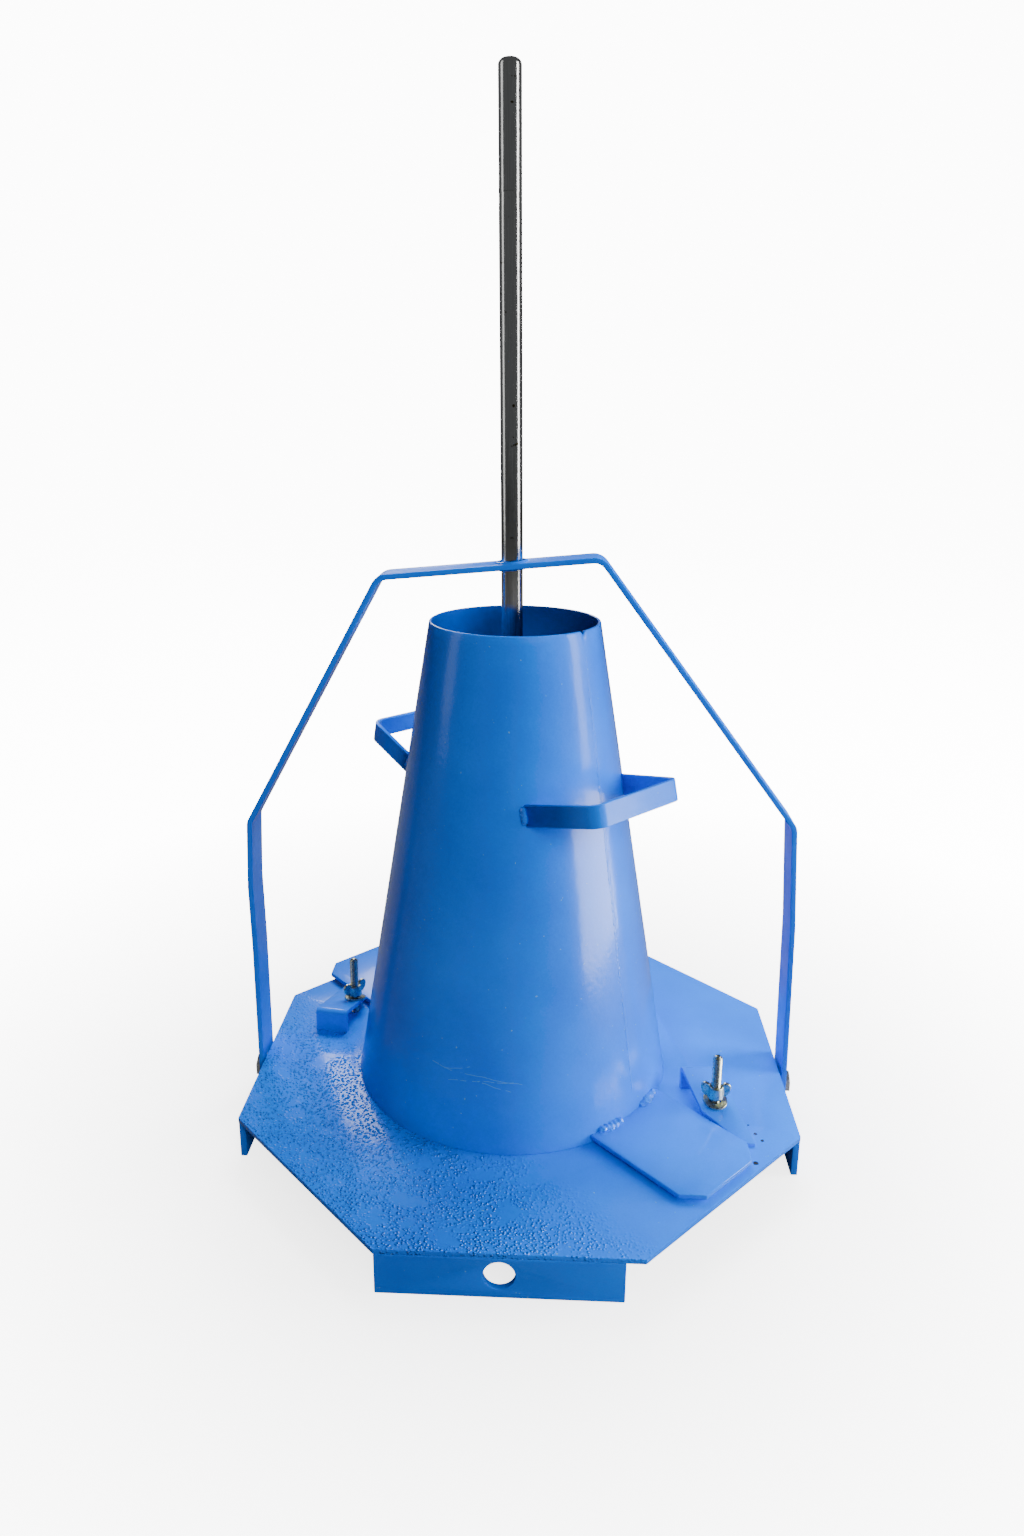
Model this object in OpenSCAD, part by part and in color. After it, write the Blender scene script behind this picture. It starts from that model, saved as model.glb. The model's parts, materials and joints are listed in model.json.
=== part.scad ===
// Slump test set: a steel slump cone on an octagonal base plate, with two strap clamps held by
// wing nuts, a swinging carrying bail and a tamping rod that stands in the cone through the
// bail's eye. Millimetres, +Z up, origin on the ground under the middle of the plate, +Y away
// from the front skirt.

/* [Base plate] */
// Distance between opposite flats of the octagonal plate
plate_flats = 344; // [340:1:350]
// Thickness of the plate
plate_t = 3; // [2:0.5:4]
// Height of the flat bars that hold the plate off the ground
skirt_h = 25; // [22:1:30]
// Thickness of those flat bars
skirt_t = 4; // [3:0.5:5]
// Length of each flat bar, a little less than one side of the octagon
skirt_len = 132; // [120:1:138]
// Diameter of the hole in the middle of each flat bar
skirt_hole_d = 17; // [14:0.5:18]

/* [Cone] */
// Inside diameter of the cone at the bottom
cone_bottom_d = 200; // [198:0.5:202]
// Inside diameter of the cone at the top
cone_top_d = 100; // [98:0.5:102]
// Height of the cone
cone_h = 300; // [298:0.5:302]
// Wall of the cone, measured level
cone_wall = 2; // [1.5:0.25:2.5]
// How far the cone stands from the middle of the plate, towards +X
cone_x = -6; // [-7:0.5:-5]
// How far the cone stands from the middle of the plate, towards +Y
cone_y = 5; // [4:0.5:6]
// Direction of the front foot and the front handle, seen from above
foot_azimuth = -45; // [-47:1:-43]
// Width of each foot
foot_w = 64; // [60:1:65]
// Reach of each foot from the cone's axis
foot_reach = 176; // [172:1:178]
// Thickness of each foot
foot_t = 3; // [2:0.5:3]
// Gap between a foot and the plate
foot_gap = 2.5; // [2:0.5:3]

/* [Cone handles] */
// Height of the front handle's welded ends above the plate, at the middle of the bar
front_handle_z = 200; // [190:1:206]
// Height of the rear handle's welded ends above the plate
rear_handle_z = 203; // [190:1:206]
// Distance of the grip's middle from the cone's axis
handle_reach = 104.5; // [98:0.5:106]
// Rise of the handles away from the cone, in degrees
handle_rise = 13.5; // [8:0.5:15]
// Length of the grip between its two bends, on the bar's centre line
handle_grip = 68; // [60:1:70]
// Distance between the two welded ends
handle_root = 80; // [74:1:84]
// Width of the handle's flat bar
handle_w = 13; // [12:0.5:18]
// Thickness of the handle's flat bar
handle_t = 3; // [2:0.5:4]

/* [Bail and rod] */
// Width of the bail's flat bar
bail_w = 24; // [22:1:25]
// Thickness of the bail's flat bar
bail_t = 3.5; // [3:0.5:4]
// Diameter of the eye in the bail
eye_d = 16.5; // [16:0.5:17]
// Diameter of the tamping rod
rod_d = 13; // [12:0.5:14]
// Length of the tamping rod
rod_len = 600; // [580:1:620]
// Lean of the standing rod towards -X, in degrees
rod_lean = 0.6; // [0:0.1:0.8]

/* [Clamps] */
// Distance of each clamp bolt from the plate's middle along X
clamp_x = 122.5; // [121:0.5:124]
// Distance of each clamp bolt from the plate's middle along Y
clamp_y = 53; // [52:0.5:54]
// Width of the clamp straps, along the bend
strap_w = 22.5; // [22:0.5:24]
// Thickness of the clamp straps
strap_t = 3; // [2:0.5:3]
// Height of a strap's standing leg
strap_h = 16.5; // [16:0.5:18]
// Size of the clamp's screw thread, outside diameter
screw_d = 6; // [6:0.5:8]
// Height of the clamp bolts above the plate
stud_h = 42; // [41:1:46]

/* [Hidden] */
$fn = 96;

paint = [0.10, 0.38, 0.74];
zinc = [0.72, 0.70, 0.58];
steel = [0.75, 0.76, 0.77];

over = 1;              // how far a cutting shape runs past what it cuts
bend_step = 7.5;       // bends in flat bar are drawn in steps of about this angle
deck = skirt_h + plate_t;          // height of the plate's top
half = plate_flats / 2;            // from the middle to a flat

// Skirts
skirt_shift = -5;                  // the front bar sits this far off the middle of its side,
                                   // and the side bars this far towards the front
skirt_weld_leg = 3;                // legs of the fillet weld inside each skirt
weld_len = 26;                     // length of each stitch of weld
weld_pitch = 45;                   // from one stitch to the next

// Pivot of the bail
pivot_z = 14;                      // height of the pivot above the ground
pivot_y = cone_y;                  // the bail stands over the cone's axis
pivot_d = 8;                       // bolt diameter
pivot_fit = 0.05;                  // radial clearance of the leg on its bolt
spacer_t = 1.5;                    // washer between skirt and leg
spacer_d = 18;
bail_gap = spacer_t;               // the legs stand this far outside the skirts
bolt_head_h = 4;
bolt_af = 13;                      // size across the hexagon's flats
nut_h = 6.5;
bolt_show = 2;                     // the bolt's end shows this far past its nut
leg_play = 0.15;                   // end play of a leg between spacer and bolt head

// Bail outline, x and z of the bar's centre line, z above the plate
bail_x = half + bail_gap + leg_play + bail_t / 2;
bail_bend_r = 9;
bail_corners = [[-87, 326], [45, 338]];   // the two ends of the crossbar
bail_line = [
    [-bail_x, pivot_z - deck], [-bail_x, 0], [-bail_x + 0.5, 80], [-bail_x, 125], [-bail_x + 2, 169],
    bail_corners[0], bail_corners[1],
    [bail_x - 6.5, 173], [bail_x - 2.5, 104], [bail_x, 0], [bail_x, pivot_z - deck]
];
eye_x = -8;
bail_rise = bail_corners[1] - bail_corners[0];
eye_slope = atan2(bail_rise[1], bail_rise[0]);
eye_z = bail_corners[0][1] + (eye_x - bail_corners[0][0]) * tan(eye_slope);
eye_rim_d = 21;                    // the bar is swollen round the eye
eye_rim_h = 1;
rod_gap = 0.6;                     // between the rod's end and the plate
rod_round_r = 3.5;                 // rounding of the rod's ends

// Cone
slope = (cone_bottom_d - cone_top_d) / 2 / cone_h;
lean = atan(slope);                // the wall's lean from upright
outer_r = cone_bottom_d / 2 + cone_wall;
seam_azimuth = -39;
foot_shift = 5.5;                  // each foot sits off its own centre line
foot_clip = 11;                    // clipped outer corners
notch = 2.5;                       // nick in the rim at the seam
handle_bend_r = 7;

// Welds on the cone
seam_w = 3;
seam_proud = 0.5;
seam_low = 12;                     // where the seam's bead starts, above the plate
seam_short = 6;                    // and how far below the rim it ends
bead_d = 5;                        // weld beads round feet and handles
bead_out = 0.5;                    // a bead's middle stands this far off the wall or the bar
foot_bead_turn = 11;               // length of each bead on a foot, in degrees round the cone
foot_bead_starts = [-12, 9];       // where they start, from the middle of the foot
handle_bead_short = 3;             // a handle's bead is this much shorter than the bar is wide

// Clamps
leg_back = 29;                     // from the leg's outer face to the bolt
strap_len = 59.5;                  // from the leg's outer face to the tip
// direction square to the leg, towards the tip; the arm's offset across the bolt; and how far
// off square the arm leaves its leg
front_strap = [-86, 0.5, 11.7];
rear_strap = [81, 6.2, -2];
strap_bend_r = 2;
strap_slope = atan((strap_h - strap_t) / (strap_len - strap_t));   // the tip rests on the plate
strap_hole_d = screw_d + 1;
tip_gap = 0.8;                     // between a strap's tip and the foot's edge
tip_bevel = 5;                     // angle of the facet ground on the tip's upper face
tip_bevel_turn = -38;              // direction of that facet's upper edge
tip_bevel_at = [12, 8.3];          // a point of that edge, from the bolt
washer_d = 15;
washer_t = 1.5;
washer_hole_d = screw_d + 1;
washer_seat = 0.02;                // air between a washer and its strap

// Wing nuts
nut_clear = 0.05;                  // radial clearance of a wing nut on its screw
nut_seat = 0.2;                    // air under the nut's lowest edge
hub_d = 10;
hub_top_d = 9;
hub_h = 8;
wing_span = 18.5;
wing_t = 2.4;
wing_rise = 7.5;                   // height of the middle of each wing's round end
wing_r = 3;                        // radius of those round ends
wing_foot = 1;                     // the wings start this far above the hub's foot
front_wings = -3;                  // direction of the wings
rear_wings = 45;

function unit(v) = v / norm(v);
function left_of(v) = [-v[1], v[0]];
function turned(v, a) = [v[0] * cos(a) - v[1] * sin(a), v[0] * sin(a) + v[1] * cos(a)];
// turn from one direction to the next, positive anticlockwise
function turn(u, v) = atan2(u[0] * v[1] - u[1] * v[0], u * v);

// Places round the bend at one corner of a bar's centre line, each a point and a direction.
// A turn of less than one step stays a plain corner.
function bend_places(corner, u, v, r) =
    let (angle = turn(u, v),
         steps = floor(abs(angle) / bend_step),
         start = corner - u * r * tan(abs(angle) / 2),
         centre = start + left_of(u) * sign(angle) * r)
    steps == 0 ? [[corner, turned(u, angle / 2)]]
    : [for (i = [0 : steps])
        [centre + turned(start - centre, angle * i / steps), turned(u, angle * i / steps)]];

// All places along a bar's centre line, from its start to its end
function bar_places(line, r) =
    let (last = len(line) - 1,
         way = [for (i = [0 : last - 1]) unit(line[i + 1] - line[i])])
    [[line[0], way[0]],
     for (i = [1 : last - 1]) each bend_places(line[i], way[i - 1], way[i], r),
     [line[last], way[last - 1]]];

// Flat bar bent along a line of points in XY, with its width along Z
module bent_bar(line, r, t, w) {
    places = bar_places(line, r);
    last = len(places) - 1;
    translate([0, 0, -w / 2])
        linear_extrude(w)
            polygon([
                for (p = places) p[0] + left_of(p[1]) * t / 2,
                for (i = [last : -1 : 0]) places[i][0] - left_of(places[i][1]) * t / 2
            ]);
}

// Stand a shape drawn in XY upright in XZ, with its width along Y
module upright() {
    rotate([90, 0, 0]) children();
}

module on_plate() {
    translate([0, 0, deck]) children();
}

module at_cone() {
    translate([cone_x, cone_y, deck]) children();
}

module hexagon(af, h) {
    cylinder(d = af / cos(30), h = h, $fn = 6);
}

// A skirt, drawn along the front side of the plate and turned to its own side. bore_x is the
// place of its hole along the bar.
module skirt(shift, turn_z, bore_x, bored_d) {
    rotate([0, 0, turn_z])
        difference() {
            translate([shift - skirt_len / 2, -half, 0])
                cube([skirt_len, skirt_t, skirt_h]);
            translate([bore_x, -half - over, pivot_z])
                rotate([-90, 0, 0])
                    cylinder(d = bored_d, h = skirt_t + 2 * over);
        }
}

module base_plate() {
    color(paint)
        translate([0, 0, skirt_h])
            difference() {
                intersection() {
                    translate([-half, -half, 0]) cube([plate_flats, plate_flats, plate_t]);
                    rotate([0, 0, 45])
                        translate([-half, -half, 0])
                            cube([plate_flats, plate_flats, plate_t]);
                }
                for (s = [-1, 1])
                    translate([s * clamp_x, -s * clamp_y, -over])
                        cylinder(d = screw_d, h = plate_t + 2 * over);
            }
}

module skirt_front() {
    color(paint) skirt(skirt_shift, 0, skirt_shift, skirt_hole_d);
}

module skirt_back() {
    color(paint) skirt(0, 180, 0, skirt_hole_d);
}

module skirt_left() {
    color(paint) skirt(-skirt_shift, -90, -pivot_y, pivot_d);
}

module skirt_right() {
    color(paint) skirt(skirt_shift, 90, pivot_y, pivot_d);
}

// Stitches of fillet weld in the corner between each skirt and the plate
module skirt_welds() {
    leg = skirt_weld_leg;
    color(paint)
        for (turn_z = [0 : 90 : 270], s = [-1, 1])
            rotate([0, 0, turn_z])
                translate([s * weld_pitch - weld_len / 2, -half + skirt_t, skirt_h])
                    rotate([90, 0, 90])
                        linear_extrude(weld_len)
                            polygon([[0, 0], [leg, 0], [0, -leg]]);
}

// Place a shape drawn along +X from the outside of the right skirt, and its twin on the left
module at_pivots() {
    for (s = [0, 180])
        translate([0, pivot_y, pivot_z])
            rotate([0, 0, s])
                translate([half, 0, 0])
                    rotate([0, 90, 0])
                        children();
}

module pivot_bolts() {
    reach_out = spacer_t + bail_t + 2 * leg_play;
    reach_in = skirt_t + nut_h + bolt_show;
    color(zinc)
        at_pivots() {
            translate([0, 0, -reach_in]) cylinder(d = pivot_d, h = reach_in + reach_out);
            translate([0, 0, reach_out]) hexagon(bolt_af, bolt_head_h);
        }
}

module pivot_spacers() {
    color(zinc)
        at_pivots()
            difference() {
                cylinder(d = spacer_d, h = spacer_t);
                translate([0, 0, -over]) cylinder(d = pivot_d, h = spacer_t + 2 * over);
            }
}

module pivot_nuts() {
    color(zinc)
        at_pivots()
            translate([0, 0, -skirt_t - nut_h])
                difference() {
                    hexagon(bolt_af, nut_h);
                    translate([0, 0, -over]) cylinder(d = pivot_d, h = nut_h + 2 * over);
                }
}

module clamp_bolts() {
    color(zinc)
        for (s = [-1, 1])
            translate([s * clamp_x, -s * clamp_y, skirt_h]) {
                cylinder(d = screw_d, h = plate_t + stud_h);
                translate([0, 0, -bolt_head_h]) hexagon(bolt_af, bolt_head_h);
            }
}

// The cone's outside, as one solid from the plate up
module cone_outside() {
    cylinder(r1 = outer_r, r2 = outer_r - slope * cone_h, h = cone_h);
}

module cone_shell() {
    inner = cone_bottom_d / 2;
    color(paint)
        at_cone()
            difference() {
                cone_outside();
                translate([0, 0, -over])
                    cylinder(r1 = inner + slope * over, r2 = inner - slope * (cone_h + over),
                             h = cone_h + 2 * over);
                rotate([0, 0, seam_azimuth])
                    translate([cone_top_d / 2 - over, -notch / 2, cone_h - notch])
                        cube([cone_wall + 2 * over, notch, notch + over]);
            }
}

// The butt weld up the cone, ground nearly flush
module cone_seam_weld() {
    color(paint)
        at_cone()
            rotate([0, 0, seam_azimuth])
                difference() {
                    intersection() {
                        translate([0, -seam_w / 2, seam_low])
                            cube([outer_r + over, seam_w, cone_h - seam_short - seam_low]);
                        translate([seam_proud, 0, 0]) cone_outside();
                    }
                    cone_outside();
                }
}

// A foot, drawn along +X from the cone's wall, with its outer corners clipped
module foot() {
    low = foot_shift - foot_w / 2;
    high = foot_shift + foot_w / 2;
    root = outer_r - foot_w / 2;       // the foot starts inside the cone and is cut to its wall
    translate([0, 0, foot_gap])
        difference() {
            linear_extrude(foot_t)
                polygon([
                    [root, low], [foot_reach - foot_clip, low],
                    [foot_reach, low + foot_clip], [foot_reach, high - foot_clip],
                    [foot_reach - foot_clip, high], [root, high]
                ]);
            translate([0, 0, -foot_gap]) cone_outside();
        }
}

module cone_foot_front() {
    color(paint) at_cone() rotate([0, 0, foot_azimuth]) foot();
}

module cone_foot_rear() {
    color(paint) at_cone() rotate([0, 0, foot_azimuth + 180]) foot();
}

// Two short runs of bead where a foot meets the cone, one at each side of the foot
module foot_welds() {
    z = foot_gap + foot_t;
    color(paint)
        at_cone()
            for (side_z = [0, 180], start = foot_bead_starts)
                rotate([0, 0, foot_azimuth + side_z + start])
                    difference() {
                        rotate_extrude(angle = foot_bead_turn)
                            translate([outer_r - slope * z + bead_out, z])
                                circle(d = bead_d);
                        cone_outside();
                        translate([0, 0, z - bead_d])
                            cylinder(r = outer_r + bead_d, h = bead_d);
                    }
}

// Distance from the cone's axis, along a handle's middle line, at which its ends meet the wall
function root_x(z) = sqrt(pow(outer_r - slope * z, 2) - pow(handle_root / 2, 2));

// A handle, drawn along +X with its ends cut to the cone's wall
module handle(z) {
    root = handle_root / 2;
    grip = handle_grip / 2;
    reach = handle_reach - root_x(z);
    buried = 8;                    // length of each end before it is cut to the wall
    splay = buried * (root - grip) / reach;
    difference() {
        translate([root_x(z), 0, z])
            rotate([0, -handle_rise, 0])
                bent_bar([[-buried, -root - splay], [reach, -grip],
                          [reach, grip], [-buried, root + splay]],
                         handle_bend_r, handle_t, handle_w);
        cone_outside();
    }
}

module cone_handle_front() {
    color(paint) at_cone() rotate([0, 0, foot_azimuth]) handle(front_handle_z);
}

module cone_handle_rear() {
    color(paint) at_cone() rotate([0, 0, foot_azimuth + 180]) handle(rear_handle_z);
}

// Beads up the outer side of each welded end of the handles
module handle_welds() {
    root = handle_root / 2 + handle_t / 2 + bead_out;
    color(paint)
        at_cone()
            for (end = [[0, front_handle_z], [180, rear_handle_z]], s = [-1, 1])
                rotate([0, 0, foot_azimuth + end[0]])
                    difference() {
                        translate([root_x(end[1]), s * (root + 2 * bead_out), end[1]])
                            rotate([0, -lean, 0])
                                cylinder(d = bead_d, h = handle_w - handle_bead_short,
                                         center = true);
                        cone_outside();
                        translate([0, s > 0 ? 0 : -root, end[1] - handle_w])
                            cube([outer_r, root, 2 * handle_w]);
                    }
}

// The bail's two legs end in half discs round the pivots
module bail_bar() {
    color(paint)
        translate([0, pivot_y, 0])
            difference() {
                union() {
                    on_plate() upright() bent_bar(bail_line, bail_bend_r, bail_t, bail_w);
                    for (s = [-1, 1])
                        translate([s * bail_x - bail_t / 2, 0, pivot_z])
                            rotate([0, 90, 0])
                                cylinder(d = bail_w, h = bail_t);
                    translate([eye_x, 0, deck + eye_z])
                        rotate([0, -eye_slope, 0])
                            cylinder(d = eye_rim_d, h = bail_t + 2 * eye_rim_h, center = true);
                }
                for (s = [-1, 1])
                    translate([s * bail_x, 0, pivot_z])
                        rotate([0, 90, 0])
                            cylinder(r = pivot_d / 2 + pivot_fit, h = bail_t + 2 * over,
                                     center = true);
                translate([eye_x, 0, deck + eye_z])
                    rotate([0, -eye_slope, 0])
                        cylinder(d = eye_d, h = bail_t + 4 * over, center = true);
            }
}

// The rod stands on the plate through the eye, with both ends rounded over
module tamping_rod() {
    r = rod_d / 2;
    round_r = rod_round_r;
    color(steel)
        translate([eye_x, pivot_y, deck + eye_z])
            rotate([0, -rod_lean, 0])
                translate([0, 0, rod_gap - eye_z])
                    rotate_extrude()
                        difference() {
                            square([r, rod_len]);
                            for (up = [0, 1])
                                translate([r - round_r, up * (rod_len - round_r)])
                                    difference() {
                                        square(round_r);
                                        translate([0, (1 - up) * round_r]) circle(round_r);
                                    }
                        }
}

// Move to a clamp bolt, facing along its strap. which is 1 for the front one, -1 for the rear
module at_clamp(which, strap) {
    translate([which * clamp_x, -which * clamp_y, deck])
        rotate([0, 0, strap[0]])
            children();
}

// Bent strap: its leg stands on the plate and its arm slopes down to the plate beside the foot
module clamp_strap(which, strap) {
    leg_x = strap_t / 2 - leg_back;
    bend_z = strap_h - strap_t / 2;
    arm = strap_len - strap_t / 2 + over;
    color(paint)
        difference() {
            at_clamp(which, strap)
                difference() {
                    intersection() {
                        upright()
                            bent_bar([[leg_x, 0], [leg_x, bend_z],
                                      [leg_x + arm, bend_z - arm * tan(strap_slope)]],
                                     strap_bend_r, strap_t, 3 * strap_w);
                        linear_extrude(strap_h) strap_outline(strap);
                    }
                    translate([0, 0, -over]) cylinder(d = strap_hole_d, h = strap_h + 2 * over);
                    translate([tip_bevel_at[0], which * tip_bevel_at[1],
                               strap_top() - tip_bevel_at[0] * tan(strap_slope)])
                        rotate([0, strap_slope, 0])
                            rotate([which * tip_bevel, 0, which * tip_bevel_turn])
                                translate([-strap_len, which > 0 ? 0 : -strap_w, 0])
                                    cube([2 * strap_len, strap_w, strap_t]);
                }
            // the tip is cut back along the foot's edge
            translate([cone_x, cone_y, deck - over])
                rotate([0, 0, foot_azimuth + (which > 0 ? 0 : 180)])
                    translate([0, -foot_w, 0])
                        cube([2 * foot_reach, foot_w + foot_shift + foot_w / 2 + tip_gap,
                              strap_h + 2 * over]);
        }
}

// Outline of a strap seen from above, with its sides off square to the leg
module strap_outline(strap) {
    tip_x = strap_len - leg_back;
    polygon([for (p = [[-leg_back, -1], [tip_x, -1], [tip_x, 1], [-leg_back, 1]])
        [p[0], strap[1] + p[0] * tan(strap[2]) + p[1] * strap_w / 2]]);
}

module clamp_strap_front() {
    clamp_strap(1, front_strap);
}

module clamp_strap_rear() {
    clamp_strap(-1, rear_strap);
}

// Height of the strap's upper face above the plate, where the bolt comes through
function strap_top() = strap_h - (leg_back - strap_t / 2) * tan(strap_slope)
                       + strap_t / 2 * (1 / cos(strap_slope) - 1);

module clamp_washer(which, strap) {
    color(zinc)
        at_clamp(which, strap)
            translate([0, 0, strap_top() + washer_seat])
                rotate([0, strap_slope, 0])
                    difference() {
                        cylinder(d = washer_d, h = washer_t);
                        translate([0, 0, -over])
                            cylinder(d = washer_hole_d, h = washer_t + 2 * over);
                    }
}

module clamp_washer_front() {
    clamp_washer(1, front_strap);
}

module clamp_washer_rear() {
    clamp_washer(-1, rear_strap);
}

// Wing nut: a tapered hub with two round-topped wings
module wing_nut(which, strap, wings_z) {
    base_z = strap_top() + washer_t + hub_d / 2 * tan(strap_slope) + nut_seat;
    wing_x = wing_span / 2 - wing_r;   // where the round end of each wing is centred
    color(zinc)
        at_clamp(which, strap)
            translate([0, 0, base_z])
                rotate([0, 0, wings_z])
                    difference() {
                        union() {
                            cylinder(d1 = hub_d, d2 = hub_top_d, h = hub_h);
                            for (s = [-1, 1])
                                upright()
                                    translate([0, 0, -wing_t / 2])
                                        linear_extrude(wing_t)
                                            polygon([[0, wing_foot], [s * wing_x, wing_foot],
                                                     [s * wing_span / 2, wing_rise],
                                                     [s * (wing_x - wing_r), wing_rise],
                                                     [0, hub_h - wing_foot]]);
                            for (s = [-1, 1])
                                upright()
                                    translate([s * wing_x, wing_rise, -wing_t / 2])
                                        cylinder(r = wing_r, h = wing_t);
                        }
                        translate([0, 0, -over])
                            cylinder(r = screw_d / 2 + nut_clear,
                                     h = wing_rise + wing_r + 2 * over);
                    }
}

module wing_nut_front() {
    wing_nut(1, front_strap, front_wings - front_strap[0]);
}

module wing_nut_rear() {
    wing_nut(-1, rear_strap, rear_wings - rear_strap[0]);
}

base_plate();
skirt_front();
skirt_back();
skirt_left();
skirt_right();
skirt_welds();
pivot_bolts();
pivot_spacers();
pivot_nuts();
clamp_bolts();
cone_shell();
cone_seam_weld();
cone_foot_front();
cone_foot_rear();
foot_welds();
cone_handle_front();
cone_handle_rear();
handle_welds();
bail_bar();
tamping_rod();
clamp_strap_front();
clamp_washer_front();
wing_nut_front();
clamp_strap_rear();
clamp_washer_rear();
wing_nut_rear();
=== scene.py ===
"""Looks of the slump test set: enamelled steel cone, plate, bail and clamps, and a polished rod.

Shapes are worked out in millimetres in the CAD's frame and turned into metres when a piece is
made. +Z up, ground at z = 0, the plate's top at DECK.
"""
import json
import math

import bpy
import bmesh
from mathutils import Matrix, Vector, noise


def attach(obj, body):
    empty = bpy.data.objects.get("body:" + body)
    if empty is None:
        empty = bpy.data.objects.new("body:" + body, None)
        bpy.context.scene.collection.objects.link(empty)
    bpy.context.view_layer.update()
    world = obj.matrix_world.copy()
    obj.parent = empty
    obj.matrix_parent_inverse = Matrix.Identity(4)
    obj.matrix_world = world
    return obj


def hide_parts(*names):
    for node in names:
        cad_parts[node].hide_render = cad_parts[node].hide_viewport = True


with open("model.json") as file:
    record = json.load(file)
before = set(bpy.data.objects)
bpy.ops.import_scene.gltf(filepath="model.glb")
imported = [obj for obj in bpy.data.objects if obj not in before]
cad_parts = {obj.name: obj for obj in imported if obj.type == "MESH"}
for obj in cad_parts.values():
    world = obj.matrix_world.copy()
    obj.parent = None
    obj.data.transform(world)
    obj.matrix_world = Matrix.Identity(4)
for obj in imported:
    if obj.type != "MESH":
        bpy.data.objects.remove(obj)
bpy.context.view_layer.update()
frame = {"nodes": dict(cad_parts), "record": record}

MM = 0.001
DECK = 28.0

# Plate and skirts
HALF = 172.0
PLATE_T = 3.0
SKIRT_T = 4.0
SKIRT_H = 25.0
SKIRT_LEN = 132.0
SKIRT_HOLE_R = 8.5
SKIRT_SHIFT = -5.0
EDGE_R = 0.5                 # rounding of cut steel edges under the paint
STITCH_AT = 45.0             # stitches of weld lie this far either side of a bar's middle

# Cone
AXIS = Vector((-6.0, 5.0, DECK))
CONE_H = 300.0
BOTTOM_R = 102.0
WALL = 2.0
SLOPE = 1 / 6                # the wall moves in by this much for each millimetre up
SEAM_AZIMUTH = -39.0
FOOT_AZIMUTH = -45.0
FOOT_TOP = 5.5               # height of a foot's upper face above the plate
FOOT_BEAD_TURN = 11.0        # length of each bead on a foot, in degrees round the cone
FOOT_BEAD_STARTS = (-12, 9)
SEAM_LOW = 12.5
SEAM_RUN = 281.0
NICK_DEPTH = 2.3             # the nick in the rim, and how far it reaches down and to each side
NICK_REACH = 3.2
NICK_HALF = 1.9              # in degrees

# Handles: height of the welded ends above the plate, for the front and the rear one
HANDLE_Z = {"front": 200.0, "rear": 203.0}
HANDLE_REACH = 104.5
HANDLE_RISE = 13.5
HANDLE_GRIP = 68.0
HANDLE_ROOT = 80.0
HANDLE_W = 13.0
HANDLE_T = 3.0
HANDLE_BEND_R = 7.0

# Bail and rod
BAIL_W = 24.0
BAIL_T = 3.5
BAIL_X = 175.4
BAIL_BEND_R = 9.0
PIVOT_Z = 14.0
PIVOT_R = 4.0
PIVOT_HEAD_Z = 5.3           # heights on the pivot, outwards from the skirt's outer face
SHANK_LOW = -12.5
SHANK_TOP = 5.5
SHANK_CHAMFER = 0.8
PIVOT_NUT_Z = -10.5
PIVOT_NUT_H = 6.5
SPACER_R = 9.0
SPACER_T = 1.5
HEX_AF = 13.0                # across the flats of every hexagon
HEAD_H = 4.0
CROSSBAR = [(-87.0, 326.0), (45.0, 338.0)]
BAIL_LINE = [
    (-BAIL_X, PIVOT_Z - DECK), (-BAIL_X, 0.0), (-BAIL_X + 0.5, 80.0), (-BAIL_X, 125.0),
    (-BAIL_X + 2.0, 169.0), *CROSSBAR, (BAIL_X - 6.5, 173.0), (BAIL_X - 2.5, 104.0),
    (BAIL_X, 0.0), (BAIL_X, PIVOT_Z - DECK),
]
EYE_X = -8.0
EYE_R = 8.25
ROD_R = 6.5
ROD_LEN = 600.0
ROD_LEAN = 0.6
ROD_GAP = 0.6
ROD_ROUND_R = 3.5
RING_Z = 534.4               # a fine ring scored round the rod
RING_HALF = 0.4
RING_CUT = 0.12

# Clamps: place of the bolt, direction of the strap and direction of the wings
CLAMPS = {
    "front": {"bolt": (122.5, -53.0), "strap": -86.0, "wings": -3.0},
    "rear": {"bolt": (-122.5, 53.0), "strap": 81.0, "wings": 45.0},
}
STUD_TOP = 42.0
SCREW_R = 3.0
THREAD_PITCH = 1.0
LEG_BACK = 29.0
STRAP_T = 3.0
STRAP_H = 16.5
STRAP_LEN = 59.5
STRAP_SLOPE = math.atan((STRAP_H - STRAP_T) / (STRAP_LEN - STRAP_T))
WASHER_R = 7.5
WASHER_T = 1.5
HUB_R = 5.0
HUB_H = 8.0
WING_T = 2.4
WING_FOOT_X = 3.6
WING_TIP_X = 6.25            # middle of the round at the top of a wing
WING_TIP_Z = 7.5
WING_TIP_R = 3.0


# ---------------------------------------------------------------- small tools

def turned(v, angle):
    """A 2-D vector turned anticlockwise by an angle in radians."""
    c, s = math.cos(angle), math.sin(angle)
    return Vector((v[0] * c - v[1] * s, v[0] * s + v[1] * c))


def about_z(degrees):
    return Matrix.Rotation(math.radians(degrees), 4, "Z")


def wobble(point, size, seed=0.0):
    """Smooth noise from -1 to 1 that changes over about size millimetres."""
    return noise.noise(Vector(point) / size + Vector((seed, seed * 0.7, seed * 1.3)))


def circle(x, y, r, steps=64):
    return [(x + r * math.cos(2 * math.pi * i / steps), y + r * math.sin(2 * math.pi * i / steps))
            for i in range(steps)]


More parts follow.
